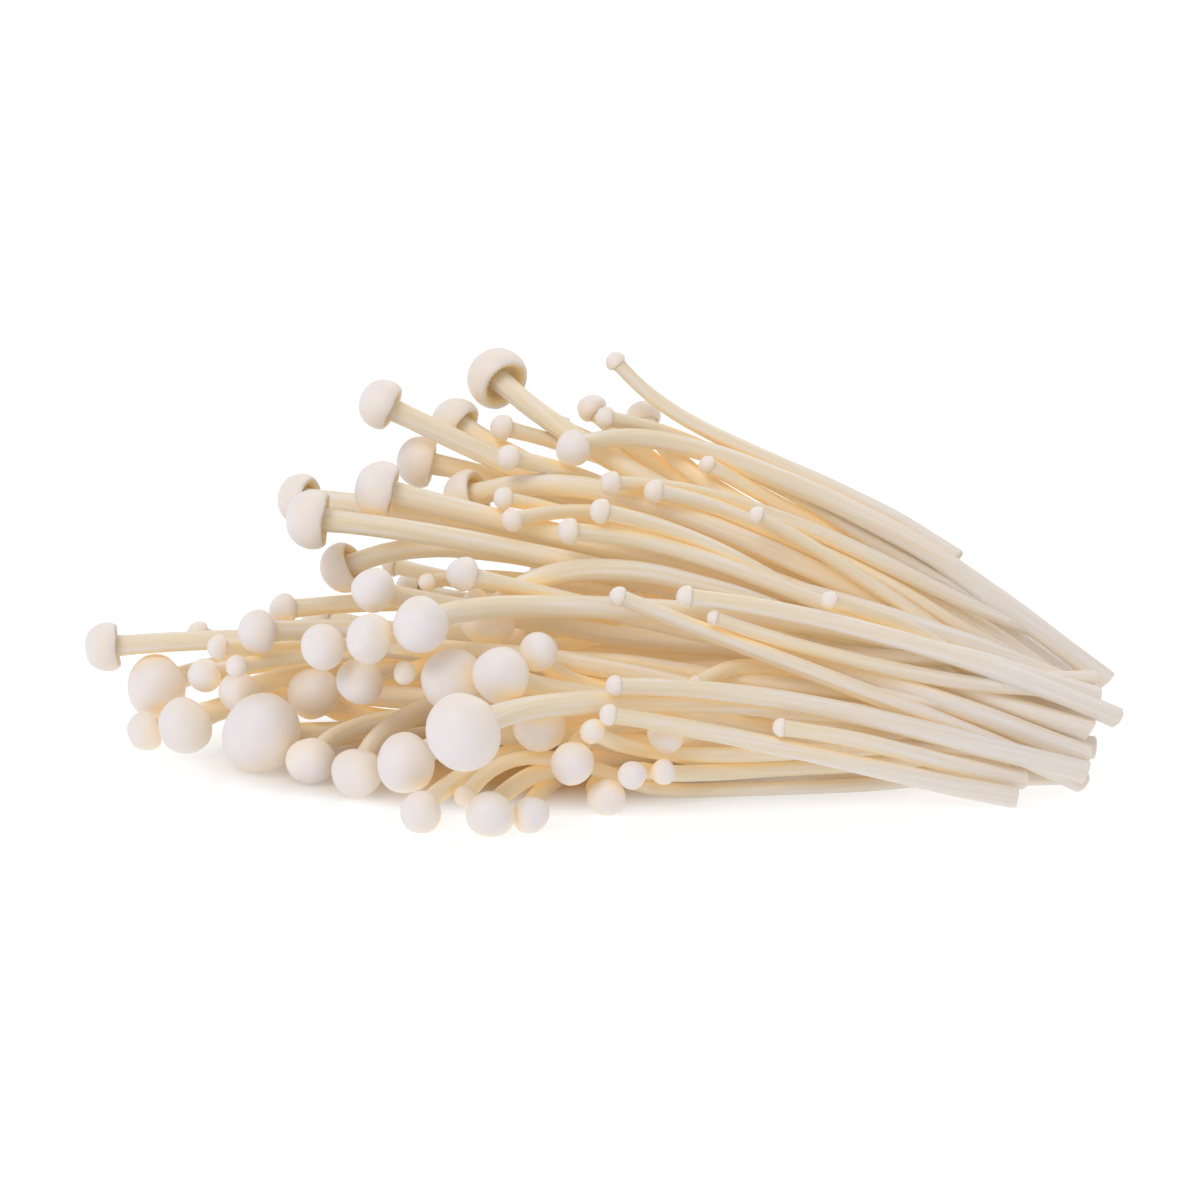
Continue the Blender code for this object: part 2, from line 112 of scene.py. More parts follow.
CROWN_SIDES = (6, 8)  # the flat crown of a solid's cap has as many sides as its stem
CROWN_WIDEST = 1 * MM
CROWN_UNEVEN = 1.06  # a crown's longest reach over its shortest, at most
FOOT_AREA = 5 * MM**2  # the cut end of a stem is a flat face, larger than this
FOOT_WIDEST = 2 * MM
ROUNDED = {6: 1.10, 8: 1.055}  # a round form's radius over the one seen in a 6- or 8-sided solid
CORNERS = 1.03  # a solid cap's corners lie a little further out than its widest look
YOUNG_CROWN = 0.18  # a solid's flat crown is wider than this share of its cap on a young one
FULL_CENTRE, YOUNG_CENTRE = 0.93, 0.92  # how far a cap's middle is under its crown
WIDEST = 0.97  # how far out a cap's outline reaches, in its own unit
STEM_TOP = 0.7  # where a stem is followed from: so many cap radii under the cap's middle
STEM_FIT = 0.98  # a stem keeps this much of its rounded radius, and so stays near its solid
LOOKS = 13  # directions looked in round a point, to find a solid's middle
LOOK_REACH = 1.25  # how far they look, in usual radii
SEARCH = 9 * MM  # how far they look at a sharp turn, or for a cap's rim
TALLEST_CAP = 16 * MM
TRACE_STEP = 1.2 * MM
MOST_STEPS = 400  # a stem that has no foot by then is a fault
AT_HOST = 0.95 * MM  # a young one has reached its host when it is this near its line
EASED, EASE_REACH = 3.2, 9  # how widely and how far a stem's line is eased, in its own steps


def merged_copy(node):
    """A copy of a solid with its loose triangles joined into flat faces."""
    shell = bmesh.new()
    shell.from_mesh(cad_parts[node].data)
    bmesh.ops.remove_doubles(shell, verts=shell.verts, dist=1e-6)
    bmesh.ops.dissolve_limit(
        shell, angle_limit=math.radians(0.5), verts=shell.verts, edges=shell.edges
    )
    shell.normal_update()
    return shell


def flat_ends(shell):
    """The flat crowns of a solid's caps, and which faces are the flat ends of its feet."""
    tops, feet = [], set()
    for face in shell.faces:
        middle = face.calc_center_median()
        spans = [(vert.co - middle).length for vert in face.verts]
        size, sides = max(spans), len(spans)
        crown = sides in CROWN_SIDES and size < min(CROWN_WIDEST, CROWN_UNEVEN * min(spans))
        if crown and middle.z > 0.1 * MM:
            tops.append((middle, face.normal.copy(), size, sides))
        elif sides > 4 and face.calc_area() > FOOT_AREA and size < FOOT_WIDEST:
            feet.add(face.index)
    return tops, feet


def look_round(tree, point, way, usual):
    """The flesh round a point, square to a way: its middle and its radius."""
    across = way.orthogonal().normalized()
    up = way.cross(across)
    pull, reaches = Vector(), []
    for i in range(LOOKS):
        angle = math.tau * i / LOOKS
        look = across * math.cos(angle) + up * math.sin(angle)
        far = tree.ray_cast(point, look, LOOK_REACH * usual)[3]
        far = LOOK_REACH * usual if far is None else far
        pull += look * far
        reaches.append(far)
    return point + pull * (2 / LOOKS), sorted(reaches)[LOOKS // 2]


def look_ahead(tree, point, way):
    """The way with the most flesh ahead, for a stem that turns sharply. A bend counts for less."""
    across = way.orthogonal().normalized()
    up = way.cross(across)
    best, best_way = 0.0, way
    for bend in (0, 20, 40, 60, 80):
        for i in range(12):
            angle = math.tau * i / 12
            side = across * math.cos(angle) + up * math.sin(angle)
            look = way * math.cos(math.radians(bend)) + side * math.sin(math.radians(bend))
            far = tree.ray_cast(point, look, SEARCH)[3]
            far = (SEARCH if far is None else far) * (1 - bend / 400)
            if far > best:
                best, best_way = far, look
    return best_way


def cap_radius(tree, crown, axis):
    """The widest radius met on the way down from the crown."""
    widest, depth = 0.0, 0.0
    while depth < TALLEST_CAP:
        depth += 0.2 * MM
        reach = look_round(tree, crown - axis * depth, axis, SEARCH)[1]
        if reach < 0.9 * widest:
            return CORNERS * widest
        widest = max(widest, reach)
    raise RuntimeError("a cap has no rim")


def follow_stem(tree, feet, start, way, host):
    """Middles and radii from just under the cap to the foot, or into the stem it grew from."""
    usual = look_round(tree, start, way, 2.2 * MM)[1]
    middles, radii, point = [], [], start
    for _ in range(MOST_STEPS):
        middle, radius = look_round(tree, point, way, usual)
        middles.append(middle)
        radii.append(radius)
        usual = 0.8 * usual + 0.2 * min(radius, 1.1 * usual)  # it changes slowly along a stem
        if host is not None:
            gaps = np.linalg.norm(host - np.array(middle), axis=1)
            nearest = int(gaps.argmin())
            if gaps[nearest] < AT_HOST:  # it grows thinner and sinks in, towards the host's foot
                for sink in range(1, 5):
                    into = Vector(host[max(nearest - 2 * sink, 0)])
                    middles.append(middles[-1].lerp(into, 0.4))
                    radii.append(usual * (1 - 0.12 * sink))
                return middles, radii
        if len(middles) > 2 and (middles[-1] - middles[-3]).length > 0.3 * MM:
            way = (way + (middles[-1] - middles[-3]).normalized()).normalized()
        end, _, face, gap = tree.ray_cast(middle, way, 3.5 * MM)
        step = TRACE_STEP
        if end is not None and face in feet and gap < 1.6 * TRACE_STEP:
            middles.append(end)
            radii.append(radius)
            return middles, radii
        if end is not None and face not in feet:
            way = (way + look_ahead(tree, middle, way)).normalized()
            step = TRACE_STEP / 2
        point = middle + way * step
    raise RuntimeError("a stem has no foot")


def eased(middles, radii, axis):
    """The line at even steps, with the corners eased and the cap's end kept straight."""
    middles, radii = np.array([tuple(p) for p in middles]), np.array(radii)
    run = np.concatenate([[0], np.cumsum(np.linalg.norm(np.diff(middles, axis=0), axis=1))])
    count = max(8, int(run[-1] / MM) + 1)
    even = np.linspace(0, run[-1], count)
    line = np.stack([np.interp(even, run, middles[:, k]) for k in range(3)], axis=1)
    width = np.interp(even, run, radii)
    spare = min(EASE_REACH, count - 1)
    before = 2 * line[0] - line[spare:0:-1]
    after = line[-1] + np.outer(np.arange(1, spare + 1) * even[1], axis)
    long = np.concatenate([before, line, after])
    wide = np.concatenate([np.full(spare, width[0]), width, np.full(spare, width[-1])])
    reach = np.arange(-spare, spare + 1)
    weight = np.exp(-0.5 * (reach / EASED) ** 2)
    weight /= weight.sum()
    line = np.stack([np.convolve(long[:, k], weight, "valid") for k in range(3)], axis=1)
    return line, np.convolve(wide, weight, "valid")


def trace(node):
    """The mushrooms of one solid: the full-grown one, then the young ones that grow from it."""
    shell = merged_copy(node)
    tree = BVHTree.FromBMesh(shell)
    tops, feet = flat_ends(shell)
    shell.free()
    mushrooms = []
    for crown, axis, size, sides in sorted(tops, key=lambda top: top[2] / top[3], reverse=True):
        rounding = ROUNDED[sides]
        cap = cap_radius(tree, crown, axis) * rounding / WIDEST
        young = size > YOUNG_CROWN * cap
        mushrooms.append((young, crown, axis, cap, rounding))
    mushrooms.sort(key=lambda found: found[0])
    if not mushrooms or mushrooms[0][0]:
        raise RuntimeError(f"no full-grown mushroom found in {node}")
    grown = []
    for young, crown, axis, cap, rounding in mushrooms:
        centre = crown - axis * (YOUNG_CENTRE if young else FULL_CENTRE) * cap
        host = grown[0].line if young else None
        middles, radii = follow_stem(tree, feet, centre - axis * STEM_TOP * cap, -axis, host)
        middles = [centre, centre - axis * 0.4 * cap] + middles
        radii = [radii[0], radii[0]] + radii
        line, radii = eased(middles[::-1], radii[::-1], axis)
        radii = radii * rounding * STEM_FIT + PRESSED
        grown.append(Mushroom(line, radii, centre, axis, cap, young))
    return grown


def heap(own):
    """All the solids but one as one tree, to see how closed in a spot of that one is, for its
    painted shade and painted light.
    """
    corners, faces = [], []
    for node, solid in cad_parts.items():
        if node == own:
            continue
        first = len(corners)
        corners += [vert.co.copy() for vert in solid.data.vertices]
        faces += [[first + i for i in face.vertices] for face in solid.data.polygons]
    return BVHTree.FromPolygons(corners, faces)


# ---- growing the fine mushrooms --------------------------------------------------------------

CUT_EDGE = (0.0, 0.12 * MM, 0.4 * MM)  # heights of the rings round a cut foot's edge
CUT_ROUND = (0.90, 0.975, 1.0)  # what they keep of the stem's radius
NECK_FLARE, FOOT_FLARE = 0.10, 0.06  # how much wider a stem is at its cap and near its cut
THREE_SIDED, LOBED = 0.018, 0.026  # how uneven it is round about, in shares of its radius
TWIST = 12  # how fast that unevenness turns about a stem, in radians in a metre
SLANT = 0.12  # slope of a cut foot
ARCH, GILL = 0.10, 0.05  # how far an open cap's underside arches, and how far its gills hang
CLOSE_RANGE, PINCH_RANGE = 28 * MM, 4 * MM  # how near the mushrooms that close a spot in are, for the painted shade and painted light
LOOKS_OUT = 12  # directions looked in from a spot
GOLDEN_TURN = 2.39996  # radians from one of them to the next
YOUNG_TONE = 1.3  # a young one's share of the creamier colours, where a full-grown one's is 0 to 1


def smooth_step(x):
    """From 0 to 1 with eased ends, as x goes from 0 to 1."""
    x = min(max(x, 0.0), 1.0)
    return x * x * (3 - 2 * x)


def varied(draw, least, more):
    """A value drawn from the least one up, by at most so much more."""
    return least + more * draw.random()


def frames_along(line):
    """Axes at each point of a line that don't turn about it: across, up and along."""
    ways = np.gradient(line, axis=0)
    ways /= np.linalg.norm(ways, axis=1)[:, None]
    across = Vector(ways[0]).orthogonal().normalized()
    frames = []
    for way in map(Vector, ways):
        across = (across - way * across.dot(way)).normalized()
        frames.append((across.copy(), way.cross(across), way))
    return frames


def ring_places(length, gap, tip):
    """Distances of the rings along a stem: close together at the cut and under the cap."""
    body = np.linspace(1.2 * MM, length - tip, max(4, int((length - tip) / gap)))
    neck = np.linspace(length - tip, length, 5)[1:]
    return np.array([*CUT_EDGE, *body, *neck])


def in_plane(verts, height):
    """The edges of a set of corners that lie in one plane of the straight tube."""
    edges = dict.fromkeys(edge for vert in verts for edge in vert.link_edges)
    return [e for e in edges if all(abs(v.co.z - height) < 1e-4 for v in e.verts)]


def straight_tube(sides, rings, cut_foot, hole):
    """A tube one unit in radius with a ring at each whole height, closed at the foot."""
    shell = bmesh.new()
    verts = bmesh.ops.create_circle(shell, segments=sides, radius=1)["verts"]
    foot = edges = in_plane(verts, 0)
    for height in range(1, rings):
        made = bmesh.ops.extrude_edge_only(shell, edges=edges)["geom"]
        verts = [item for item in made if isinstance(item, bmesh.types.BMVert)]
        bmesh.ops.translate(shell, verts=verts, vec=(0, 0, 1))
        edges = in_plane(verts, height)
    closed = bmesh.ops.holes_fill(shell, edges=foot)["faces"]
    bmesh.ops.recalc_face_normals(shell, faces=shell.faces)
    if cut_foot:  # the cut goes in by shares of the radius and up by rings
        for share, sink in ((0.16, 0.0), (0.30, 1.2), (0.24, 0.4 if hole else 0.2)):
            ring = bmesh.ops.inset_region(shell, faces=closed, thickness=share)["faces"]
            for face in ring + closed:
                face.material_index = PITH
            inner = list(dict.fromkeys(vert for face in closed for vert in face.verts))
            bmesh.ops.translate(shell, verts=inner, vec=(0, 0, sink))
        if hole:
            bmesh.ops.inset_region(shell, faces=closed, thickness=0.05)
            inner = list(dict.fromkeys(vert for face in closed for vert in face.verts))
            bmesh.ops.translate(shell, verts=inner, vec=(0, 0, 2.2))
        bmesh.ops.poke(shell, faces=closed)
    return shell


def cap_outline(mushroom, opened):
    """The outline for a mushroom's cap, with room for its stem."""
    outline = OPEN_CAP if opened and not mushroom.young else CLOSED_CAP
    if mushroom.young or mushroom.cap < SMALL_CAP:
        outline = BUTTON_CAP
    neck = 1.1 * mushroom.radii[-1] / mushroom.cap
    widest = max(range(len(outline)), key=lambda i: outline[i][0])
    kept = list(outline[: widest + 1])
    for across, up in outline[widest + 1 :]:
        if across < neck + 0.05:
            break
        kept.append((across, up))
    return [*kept, (neck, kept[-1][1] + 0.02)]


def swollen(radius, s, top, mushroom):
    """A stem's radius with its swelling under the cap and its rounded cut."""
    radius *= 1 + NECK_FLARE * smooth_step(1 - (top - s) / (0.9 * mushroom.cap))
    if not mushroom.young:
        radius *= 1 + FOOT_FLARE * math.exp(-s / (3 * MM))
        radius *= float(np.interp(s, CUT_EDGE, CUT_ROUND))
    return radius


def grow_stem(mushroom, outline, shape, draw):
    """The stem as a tube, from its cut foot to where it widens into the cap."""
    full = not mushroom.young
    line, radii = mushroom.line, mushroom.radii
    length = float(np.linalg.norm(np.diff(line, axis=0), axis=1).sum())
    run = np.linspace(0, length, len(line))
    frames = frames_along(line)
    top = length + outline[-1][1] * mushroom.cap
    rings = ring_places(top, shape.ring_gap, 0.5 * mushroom.cap)
    sides = shape.stem_sides if full else shape.stem_sides * 2 // 3
    shell = straight_tube(sides, len(rings), full, draw.random() < shape.hollow_share)
    grain = shell.verts.layers.float_vector.new("grain")
    along = shell.verts.layers.float.new("along")
    phase, twist = draw.random(3) * math.tau, draw.normal() * TWIST
    oval, lobes = varied(draw, 0.04, 0.07), int(draw.integers(5, 8))
    slope = draw.normal(size=2) * SLANT
    apart = Vector(draw.random(3) * 50)
    for vert in shell.verts:
        x, y, height = vert.co
        share, angle = math.hypot(x, y), math.atan2(y, x)
        s = float(np.interp(height, range(len(rings)), rings))
        spot = s / length * (len(line) - 1)
        i = min(int(spot), len(line) - 2)
        point = Vector(line[i]).lerp(Vector(line[i + 1]), spot - i)
        across, up, way = (a.lerp(b, spot - i) for a, b in zip(frames[i], frames[i + 1]))
        radius = swollen(float(np.interp(s, run, radii)), s, top, mushroom)
        spin = angle + twist * s
        uneven = oval * math.cos(2 * spin + phase[0])
        uneven += THREE_SIDED * math.cos(3 * spin + phase[1] + 25 * s)
        uneven += LOBED * math.cos(lobes * spin + phase[2])
        drift = Vector((math.cos(angle), math.sin(angle), s / (9 * MM))) + apart
        uneven += shape.stem_waver * noise.noise(drift)
        radius *= share * (1 + uneven)
        out = across * math.cos(angle) + up * math.sin(angle)
        vert.co = point + out * radius
        if full:
            lean = radius * (slope[0] * math.cos(angle) + slope[1] * math.sin(angle))
            vert.co += way * lean * math.exp(-s / (2.5 * MM))
        vert[grain] = (radius * math.cos(spin), radius * math.sin(spin), s)
        vert[along] = s / length
    return shell


def grow_cap(mushroom, outline, shape, opened, draw):
    """The cap: its outline spun about the axis, then made a little uneven, with gills below."""
    steps = shape.cap_steps if mushroom.cap > COARSE_CAP else shape.cap_steps // 2
    shell = bmesh.new()
    verts = [shell.verts.new((across, 0, up)) for across, up in outline]
    edges = [shell.edges.new(pair) for pair in zip(verts, verts[1:])]
    bmesh.ops.spin(
        shell, geom=verts + edges, cent=(0, 0, 0), axis=(0, 0, 1), dvec=(0, 0, 0),
        angle=math.tau, steps=steps, use_merge=True, use_duplicate=False,
    )
    bmesh.ops.remove_doubles(shell, verts=shell.verts, dist=1e-5)
    bmesh.ops.recalc_face_normals(shell, faces=shell.faces)
    grain = shell.verts.layers.float_vector.new("grain")
    along = shell.verts.layers.float.new("along")
    rim = RIM_OPENED if opened else RIM_CLOSED
    for face in shell.faces:
        middle = face.calc_center_median()
        under = middle.z < UNDERSIDE and math.hypot(middle.x, middle.y) < rim
        face.material_index = GILLS if under else CAP
        face.smooth = True
    phase, oval = draw.random(3) * math.tau, varied(draw, 0.015, 0.03)
    wave = varied(draw, 0.012, 0.014)
    dip = 0.05 * draw.random() ** 2  # a faint hollow in the crown
    apart = Vector(draw.random(3) * 50)
    up = mushroom.axis
    across = up.orthogonal().normalized()
    square = Matrix((across, up.cross(across), up)).transposed()
    for vert in shell.verts:
        x, y, z = vert.co
        share, angle = math.hypot(x, y), math.atan2(y, x)
        under = z < UNDERSIDE and share < rim
        vert[grain] = (x * mushroom.cap, y * mushroom.cap, z * mushroom.cap)
        vert[along] = share
        uneven = 1 + oval * math.cos(2 * angle + phase[0]) * share
        uneven += wave * math.cos(3 * angle + phase[1]) * share**3
        uneven += shape.cap_waver * noise.noise(vert.co * 1.1 + apart)
        height = z * uneven - dip * math.exp(-((share / 0.35) ** 2)) * (z > UNDERSIDE)
        if under:  # it arches, and every other spoke hangs down as a gill
            spoke = round(angle / math.tau * steps)
            height += ARCH * opened * smooth_step((share - 0.2) / 0.2)
            height -= GILL * opened * (spoke % 2) * smooth_step((share - 0.3) / 0.2)
        elif share > 0.7 and z < 0:
            height += 0.02 * math.cos(5 * angle + phase[2])
        local = Vector((x * uneven, y * uneven, height)) * mushroom.cap
        vert.co = mushroom.centre + square @ local
    return shell


def note_neighbours(mesh, node):
    """Notes how closed in each corner is by the mushrooms round it, and how tightly it lies
    between near ones, both from 0 in the open to 1, as masks for painted shade and painted light.
    Both are evened out along the skin."""
    count = len(mesh.vertices)
    places, normals = np.empty(count * 3), np.empty(count * 3)
    mesh.vertices.foreach_get("co", places)
    mesh.vertex_normals.foreach_get("vector", normals)
    looks = []
    for i in range(LOOKS_OUT):
        height = (i + 0.5) / LOOKS_OUT
        turn = i * GOLDEN_TURN
        flat = math.sqrt(1 - height * height)
        looks.append(Vector((flat * math.cos(turn), flat * math.sin(turn), height)))
    tree = heap(node)
    closed, pinched_for_painted_shade = np.zeros(count), np.zeros(count)
    for k in range(count):
        normal = Vector(normals[3 * k : 3 * k + 3])
        turned = normal.to_track_quat("Z", "Y")
        start = Vector(places[3 * k : 3 * k + 3]) + normal * 0.6 * MM  # clear of its own skin
        for look in looks:
            way = turned @ look
            far = tree.ray_cast(start, way, CLOSE_RANGE)[3]
            if far is not None:
                closed[k] += (1 - far / CLOSE_RANGE) / LOOKS_OUT
                pinched_for_painted_shade[k] += max(0.0, 1 - far / PINCH_RANGE) / LOOKS_OUT
            elif way.z < 0:  # the floor closes it in too, half as much, for painted shade near the floor
                closed[k] += max(0.0, 0.5 + start.z / way.z / (2 * CLOSE_RANGE)) / LOOKS_OUT
    pairs = np.empty(len(mesh.edges) * 2, int)
    mesh.edges.foreach_get("vertices", pairs)
    a, b = pairs[::2], pairs[1::2]
    links = np.bincount(pairs, minlength=count) + 1.0
    for name, share, rounds in (("closed_in_for_painted_light", closed, 3), ("pinched_for_painted_shade", pinched_for_painted_shade, 1)):
        for _ in range(rounds):
            total = share + np.bincount(a, share[b], count) + np.bincount(b, share[a], count)
            share = total / links
        mesh.attributes.new(name, "FLOAT", "POINT").data.foreach_set("value", share)


def fuse(host, young):
    """Grows the young ones' skins into their host's, as one mesh."""
    bodies = [bpy.data.objects.new("body", mesh) for mesh in (host, *young)]
    grafts = bpy.data.collections.new("grafts")
    bpy.context.scene.collection.objects.link(bodies[0])
    bpy.context.scene.collection.children.link(grafts)
    for body in bodies[1:]:
        grafts.objects.link(body)
    union = bodies[0].modifiers.new("union", "BOOLEAN")
    union.operation, union.solver = "UNION", "MANIFOLD"
    union.operand_type, union.collection = "COLLECTION", grafts
    graph = bpy.context.evaluated_depsgraph_get()
    whole = bpy.data.meshes.new_from_object(bodies[0].evaluated_get(graph))
    for body in bodies:
        bpy.data.objects.remove(body)
    bpy.data.collections.remove(grafts)
    if len(whole.vertices) <= len(host.vertices):
        raise RuntimeError(f"the young ones of {host.name} didn't fuse with it")
    return whole


def grow_mushroom(mushroom, name, opened, shape, draw):
    """One mushroom's closed skin: its stem and its cap, bridged where they meet."""
    outline = cap_outline(mushroom, opened)
    stem = grow_stem(mushroom, outline, shape, draw)
    cap = grow_cap(mushroom, outline, shape, opened and not mushroom.young, draw)
    mesh = bpy.data.meshes.new(name)
    cap.to_mesh(mesh)
    cap.free()
    stem.from_mesh(mesh)
    seam = [edge for edge in stem.edges if edge.is_boundary]
    for face in bmesh.ops.bridge_loops(stem, edges=seam)["faces"]:
        face.material_index = GILLS if opened else STEM
    bmesh.ops.recalc_face_normals(stem, faces=stem.faces)
    for face in stem.faces:
        face.smooth = face.material_index != PITH
    if any(not edge.is_manifold for edge in stem.edges):
        raise RuntimeError(f"{name} isn't closed")
    stem.to_mesh(mesh)
    stem.free()
    tones = np.full(len(mesh.vertices), YOUNG_TONE if mushroom.young else draw.random())
    mesh.attributes.new("tone", "FLOAT", "POINT").data.foreach_set("value", tones)
    return mesh


def grow_piece(node, scene):
    """One fine piece for one solid: its mushroom, and the young ones that grow from its foot."""
    opened = node.endswith(OPENED)
    draw = np.random.default_rng([SEED, *node.encode()])
    name = "enoki_" + "_".join(node.split("_")[1:])
    meshes = []
    for mushroom in trace(node):
        mesh = grow_mushroom(mushroom, name, opened, scene.enoki_shape, draw)
        for finish in finishes(scene):
            mesh.materials.append(finish)
        meshes.append(mesh)
    mesh = fuse(meshes[0], meshes[1:]) if len(meshes) > 1 else meshes[0]
    mesh.name = name
    for vert in mesh.vertices:
        vert.co.z = max(vert.co.z, 0.0)  # pressed flat where it lies on the surface
    note_neighbours(mesh, node)
    piece = bpy.data.objects.new(name, mesh)
    bpy.context.scene.collection.objects.link(piece)
    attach(piece, "root")
    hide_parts(node)


def grow_fan(fan, context):
    """All the pieces of one fan, in the order of their names."""
    nodes = [node for node in sorted(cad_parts) if node.split("_")[1] == fan]
    if not nodes:
        raise RuntimeError(f"the frame has no {fan} mushrooms")
    for node in nodes:
        grow_piece(node, context.scene)
    return {"FINISHED"}


# ---- finishes --------------------------------------------------------------------------------


class Finish:
    """A material's node tree, with short ways to add to it."""

    def __init__(self, name):
        self.material = bpy.data.materials.new(name)
        self.material.use_nodes = True
        self.tree = self.material.node_tree
        self.shader = self.tree.nodes["Principled BSDF"]

    def add(self, kind, values=(), **settings):
        """A new node, with values or links for its sockets and settings of its own."""
        node = self.tree.nodes.new("ShaderNode" + kind)
        for name, value in settings.items():
            setattr(node, name, value)
        for name, value in dict(values).items():
            self.give(node.inputs[name], value)
        return node

    def give(self, socket, value):
        """A link into a socket, or a value for it."""
        if isinstance(value, bpy.types.NodeSocket):
            self.tree.links.new(value, socket)
        elif hasattr(value, "__len__") and len(value) == 3 and socket.type == "RGBA":
            socket.default_value = (*value, 1)
        else:
            socket.default_value = value

    def attribute(self, name, output="Fac"):
        return self.add("Attribute", attribute_name=name).outputs[output]

    def place(self):
        """Where on the piece a spot is, in metres."""
        return self.add("TexCoord").outputs["Object"]

    def mix(self, share, first, second):
        node = self.add("Mix", data_type="RGBA")
        for index, value in ((0, share), (6, first), (7, second)):
            self.give(node.inputs[index], value)
        return node.outputs[2]

    def maths(self, operation, first, second, clamp=False):
        node = self.add("Math", operation=operation, use_clamp=clamp)
        self.give(node.inputs[0], first)
        self.give(node.inputs[1], second)
        return node.outputs[0]

    def times(self, first, second):
        return self.maths("MULTIPLY", first, second)

    def plus(self, first, second, clamp=False):
        return self.maths("ADD", first, second, clamp)

    def ramp(self, value, low, high):
        """From 0 to 1, as a value goes from low to high."""
        limits = {"Value": value, "From Min": low, "From Max": high}
        return self.add("MapRange", limits).outputs["Result"]

    def part(self, value, low, high, share):
        """From 0 to a share, as a value goes from low to high."""
        return self.times(self.ramp(value, low, high), share)

    def noise(self, place, scale, detail=2.0, rough=0.5):
        values = {"Vector": place, "Scale": scale, "Detail": detail, "Roughness": rough}
        return self.add("TexNoise", values).outputs["Fac"]

    def stretched(self, place, stretch):
        return self.add("Mapping", {"Vector": place, "Scale": stretch}).outputs["Vector"]

    def bump(self, height, strength, depth, under=None):
        values = {"Height": height, "Strength": strength, "Distance": depth}
        node = self.add("Bump", values)
        if under:
            self.tree.links.new(under, node.inputs["Normal"])
        return node.outputs["Normal"]

    def depth(self, closed_in_for_painted_light, pinched_for_painted_shade):
        """Painted shade: how deep in the heap a spot is, from the low end, high end and share of
        each note.
        """
        deep = self.part(self.attribute("closed_in_for_painted_light"), *closed_in_for_painted_light)
        return self.plus(deep, self.part(self.attribute("pinched_for_painted_shade"), *pinched_for_painted_shade), clamp=True)

    def painted_glow(self, low, high, share, colours):
        """Painted light: emission that stands in for light coming through the flesh from behind,
        strongest deep in the heap.
        """
        strength = self.part(self.attribute("closed_in_for_painted_light"), low, high, colours.painted_glow_strength)
        strength = self.times(strength, share)
        return {"Emission Color": colours.painted_glow, "Emission Strength": strength}

    def shade(self, values):
        """The finished material, with values or links for its shader."""
        for name, value in values.items():
            self.give(self.shader.inputs[name], value)
        return self.material


def flesh_light(scatter, depth):
    """How light goes into the flesh: a little deeper in the warm colours."""
    return {
        "Subsurface Weight": scatter,
        "Subsurface Radius": (1.0, 0.72, 0.45),
        "Subsurface Scale": depth,
        "IOR": 1.4,
        "Specular IOR Level": 0.42,
    }


def stem_finish(colours):
    """Ivory skin, creamier towards the cap, with fine fibres running along the stem, and painted
    shade and painted light deep in the heap.
    """
    f = Finish("enoki_stem")
    grain = f.attribute("grain", "Vector")
    fibres = f.noise(f.stretched(grain, (5200, 5200, 130)), 1.0, 3.0, 0.6)
    strands = f.noise(f.stretched(grain, (1500, 1500, 45)), 1.0, 2.0)
    patches = f.noise(f.stretched(grain, (220, 220, 90)), 1.0, 2.0)
    cream = f.part(f.attribute("along"), 0.15, 0.85, 0.75)
    cream = f.plus(cream, f.times(f.attribute("tone"), 0.15))
    cream = f.plus(cream, f.part(patches, 0.40, 0.65, 0.20), clamp=True)
    colour = f.mix(cream, colours.stem_ivory, colours.stem_cream)
    colour = f.mix(f.part(strands, 0.50, 0.66, 0.50), colour, colours.fibre)
    colour = f.mix(f.part(fibres, 0.5, 0.8, 0.20), colour, colours.fibre)
    colour = f.mix(f.part(strands, 0.46, 0.34, 0.5), colour, colours.cap_white)
    # Painted shade: deep in the heap and between near mushrooms the colour turns to the painted
    # shade of crevices, less towards the foot.
    depth = f.depth((0.18, 0.78, 0.80), (0.07, 0.42, 0.40))
    depth = f.times(depth, f.ramp(f.attribute("along"), -0.15, 0.95))
    colour = f.mix(depth, colour, colours.painted_crevice_shade)
    rough = f.plus(f.times(fibres, 0.16), 0.36)
    skin = f.bump(strands, 0.5, 0.14 * MM)
    skin = f.bump(fibres, 0.28, 0.05 * MM, skin)
    # Painted light: emission deep in the heap, weaker towards the foot.
    share = f.ramp(f.attribute("along"), -0.70, 0.95)
    light = {**flesh_light(0.5, 1.1 * MM), **f.painted_glow(0.12, 0.80, share, colours)}
    return f.shade({"Base Color": colour, "Roughness": rough, "Normal": skin, **light})


def cap_finish(colours):
    """Near-white, satin skin with a faint pink, a little creamier at the rim, with painted shade
    and painted light deep in the heap.
    """
    f = Finish("enoki_cap")
    place = f.place()
    mottle = f.noise(place, 420, 3.0)
    pores = f.noise(place, 4200, 4.0, 0.65)
    cream = f.part(f.attribute("along"), 0.60, 1.0, 0.55)
    cream = f.plus(cream, f.times(f.attribute("tone"), 0.25))
    cream = f.plus(cream, f.part(mottle, 0.45, 0.7, 0.25), clamp=True)
    colour = f.mix(cream, colours.cap_white, colours.cap_blush)
    # Painted shade: deep in the heap and between near mushrooms the colour turns to the painted
    # shade of crevices.
    colour = f.mix(f.depth((0.06, 0.80, 0.40), (0.05, 0.50, 0.25)), colour, colours.painted_crevice_shade)
    rough = f.plus(f.times(pores, 0.14), 0.38)
    skin = f.bump(mottle, 0.15, 0.12 * MM)
    skin = f.bump(pores, 0.12, 0.03 * MM, skin)
    # Painted light: emission deep in the heap.
    light = {**flesh_light(0.6, 1.2 * MM), **f.painted_glow(0.15, 0.85, 1.0, colours)}
    return f.shade({"Base Color": colour, "Roughness": rough, "Normal": skin, **light})


